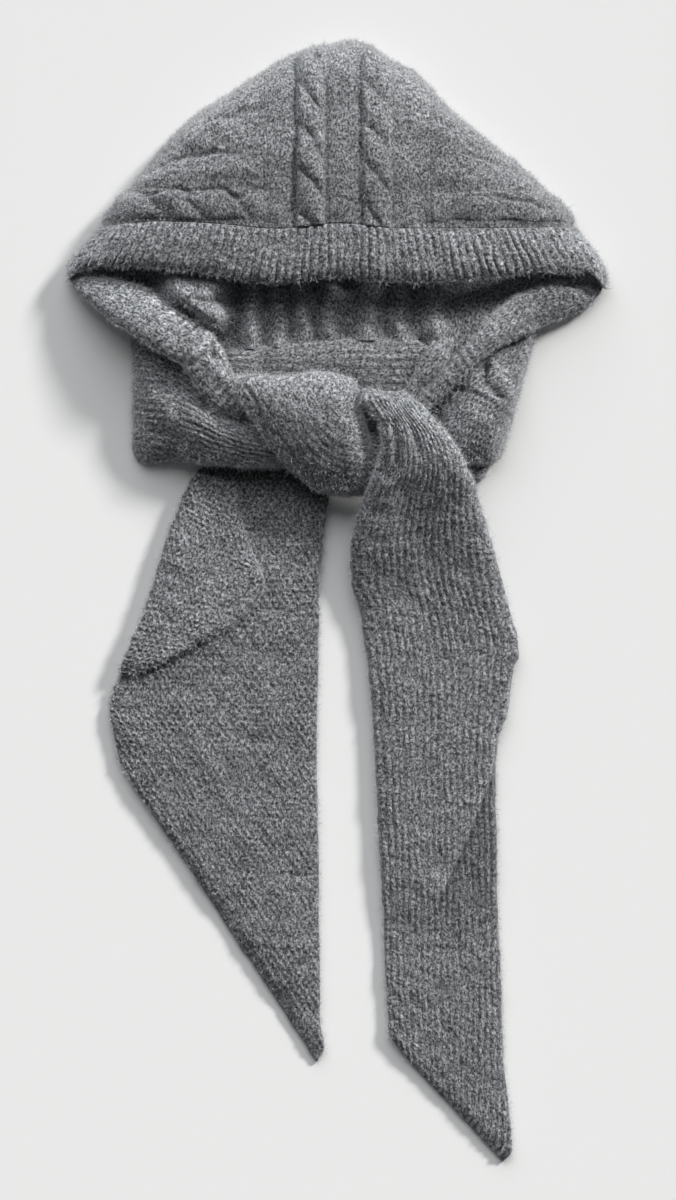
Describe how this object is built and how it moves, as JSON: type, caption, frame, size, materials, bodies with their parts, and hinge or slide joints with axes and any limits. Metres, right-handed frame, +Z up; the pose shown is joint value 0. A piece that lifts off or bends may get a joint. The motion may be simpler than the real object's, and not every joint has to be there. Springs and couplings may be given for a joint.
{
  "type": "hooded scarf",
  "caption": "Hooded scarf in thick felted wool, laid flat, with a cable-knit hood, a ribbed face band and scarf ends tied in one knot.",
  "frame": {"origin": "on the table, under the middle of the laid-out garment's bounding box", "axes": "+Y towards the point of the hood, +X to the viewer's right, +Z up from the table"},
  "size_m": [0.374, 0.7839, 0.0542],
  "materials": {
    "hood_left_wool": "felted grey wool knit with raised runs",
    "hood_centre_wool": "felted grey wool knit with two cables",
    "hood_right_wool": "felted grey wool knit with raised runs",
    "hood_back_wool": "felted grey wool knit, inside of the cables",
    "face_band_wool": "ribbed grey wool",
    "neck_wool": "rib-knit grey wool",
    "knot_wool": "rib-knit grey wool, pulled tight",
    "left_tail_wool": "plain side of the grey wool rib knit",
    "right_tail_wool": "ribbed side of the grey wool rib knit"
  },
  "bodies": {
    "root": {"hood_left_panel": "hood_left_wool", "hood_centre_panel": "hood_centre_wool", "hood_right_panel": "hood_right_wool", "hood_back_panel": "hood_back_wool", "face_band_top": "face_band_wool", "face_band_left": "face_band_wool", "face_band_right": "face_band_wool", "neck_band_inner": "neck_wool", "neck_band_fold": "neck_wool", "neck_wrap_left": "neck_wool", "neck_wrap_right": "neck_wool", "neck_wrap_right_under": "neck_wool", "scarf_knot": "knot_wool", "scarf_left_tail": "left_tail_wool", "scarf_left_flap": "left_tail_wool", "scarf_right_tail": "right_tail_wool"}
  },
  "joints": []
}
